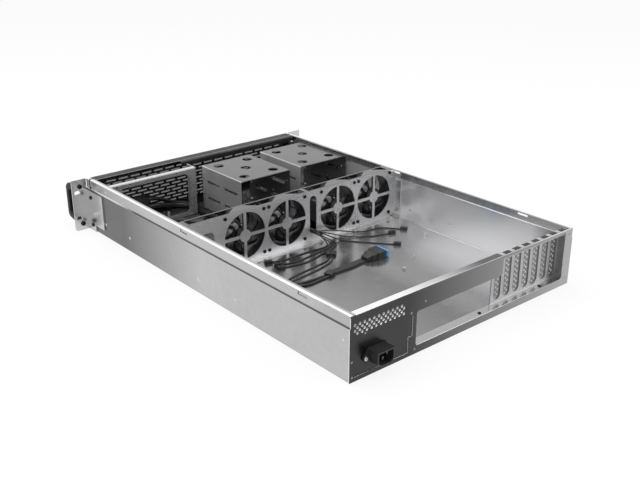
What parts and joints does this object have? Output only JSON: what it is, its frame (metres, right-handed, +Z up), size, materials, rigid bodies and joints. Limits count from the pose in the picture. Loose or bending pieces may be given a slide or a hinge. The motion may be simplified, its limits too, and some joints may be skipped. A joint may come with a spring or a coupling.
{
  "type": "rackmount server case",
  "caption": "Two-unit rack server case, lid off: folded sheet tub with a fan wall, drive cages, supply bracket, slotted rear panel and rack ears with handles.",
  "frame": {"origin": "centre of the overall box at the underside", "axes": "-Y is the front with the rack ears, +Y the rear with the power inlet, +Z up; +X is the inlet's side, to the right seen from the front"},
  "size_m": [0.4826, 0.71, 0.088],
  "materials": {
    "zinc_sheet": "bare zinc-coated sheet, satin",
    "rear_sheet": "dark metallic sheet, satin",
    "black_panel": "fine black powder coat",
    "black_handle": "smooth black coat",
    "fan_plastic": "black moulded",
    "rotor_plastic": "black moulded, slight sheen",
    "black_plastic": "black moulded",
    "blue_plastic": "blue moulded",
    "board": "green board",
    "lens": "clear moulded",
    "pin_metal": "bright plated",
    "screw_metal": "bright zinc plated",
    "black_screw": "black coated",
    "lead_jacket": "black jacket"
  },
  "bodies": {
    "case": {"chassis_tub": "zinc_sheet", "fan_wall": "zinc_sheet", "drive_cage_left": "zinc_sheet", "drive_cage_right": "zinc_sheet", "psu_bracket": "zinc_sheet", "rack_ear_left": "zinc_sheet", "rack_ear_right": "zinc_sheet", "slot_panel": "zinc_sheet", "slot_cover_1": "zinc_sheet", "slot_cover_2": "zinc_sheet", "slot_cover_3": "zinc_sheet", "slot_cover_4": "zinc_sheet", "slot_cover_5": "zinc_sheet", "slot_cover_6": "zinc_sheet", "slot_cover_7": "zinc_sheet", "rear_panel": "rear_sheet", "inlet_plate": "rear_sheet", "front_panel": "black_panel", "handle_left": "black_handle", "handle_right": "black_handle", "fan_frame_1": "fan_plastic", "fan_frame_2": "fan_plastic", "fan_frame_3": "fan_plastic", "fan_frame_4": "fan_plastic", "power_inlet": "black_plastic", "control_housing": "black_plastic", "header_plugs": "black_plastic", "usb_plug": "black_plastic", "power_plug": "black_plastic", "usb_plug_insert": "blue_plastic", "control_board": "board", "indicator_lenses": "lens", "power_inlet_pins": "pin_metal", "usb_sockets": "pin_metal", "slot_cover_screws": "screw_metal", "panel_screws": "screw_metal", "floor_screws": "screw_metal", "fan_screws": "black_screw", "ear_screws": "black_screw", "handle_screws": "black_screw", "front_loom": "lead_jacket", "side_loom": "lead_jacket", "slot_lead_1": "lead_jacket", "slot_lead_2": "lead_jacket", "slot_lead_3": "lead_jacket", "slot_lead_4": "lead_jacket", "slot_lead_5": "lead_jacket", "slot_lead_6": "lead_jacket", "side_lead_1": "lead_jacket", "side_lead_2": "lead_jacket", "thick_lead_1": "lead_jacket", "thick_lead_2": "lead_jacket", "usb_cable": "lead_jacket", "power_lead": "lead_jacket"},
    "impeller_1": {"fan_rotor_1": "rotor_plastic"},
    "impeller_2": {"fan_rotor_2": "rotor_plastic"},
    "impeller_3": {"fan_rotor_3": "rotor_plastic"},
    "impeller_4": {"fan_rotor_4": "rotor_plastic"},
    "power_key": {"power_button": "black_plastic"},
    "reset_key": {"reset_button": "black_plastic"}
  },
  "joints": [
    {"name": "fan_spin_1", "type": "hinge", "parent": "case", "child": "impeller_1", "pos_m": [0.10162, -0.036, 0.046], "axis": [0, 1, 0], "continuous": true},
    {"name": "fan_spin_2", "type": "hinge", "parent": "case", "child": "impeller_2", "pos_m": [0.02048, -0.036, 0.046], "axis": [0, 1, 0], "continuous": true},
    {"name": "fan_spin_3", "type": "hinge", "parent": "case", "child": "impeller_3", "pos_m": [-0.08572, -0.036, 0.046], "axis": [0, 1, 0], "continuous": true},
    {"name": "fan_spin_4", "type": "hinge", "parent": "case", "child": "impeller_4", "pos_m": [-0.16687, -0.036, 0.046], "axis": [0, 1, 0], "continuous": true},
    {"name": "power_press", "type": "slide", "parent": "case", "child": "power_key", "axis": [0, 1, 0], "range_m": [0, 0.0015], "stiffness_N_per_m": 300},
    {"name": "reset_press", "type": "slide", "parent": "case", "child": "reset_key", "axis": [0, 1, 0], "range_m": [0, 0.0015], "stiffness_N_per_m": 300}
  ]
}
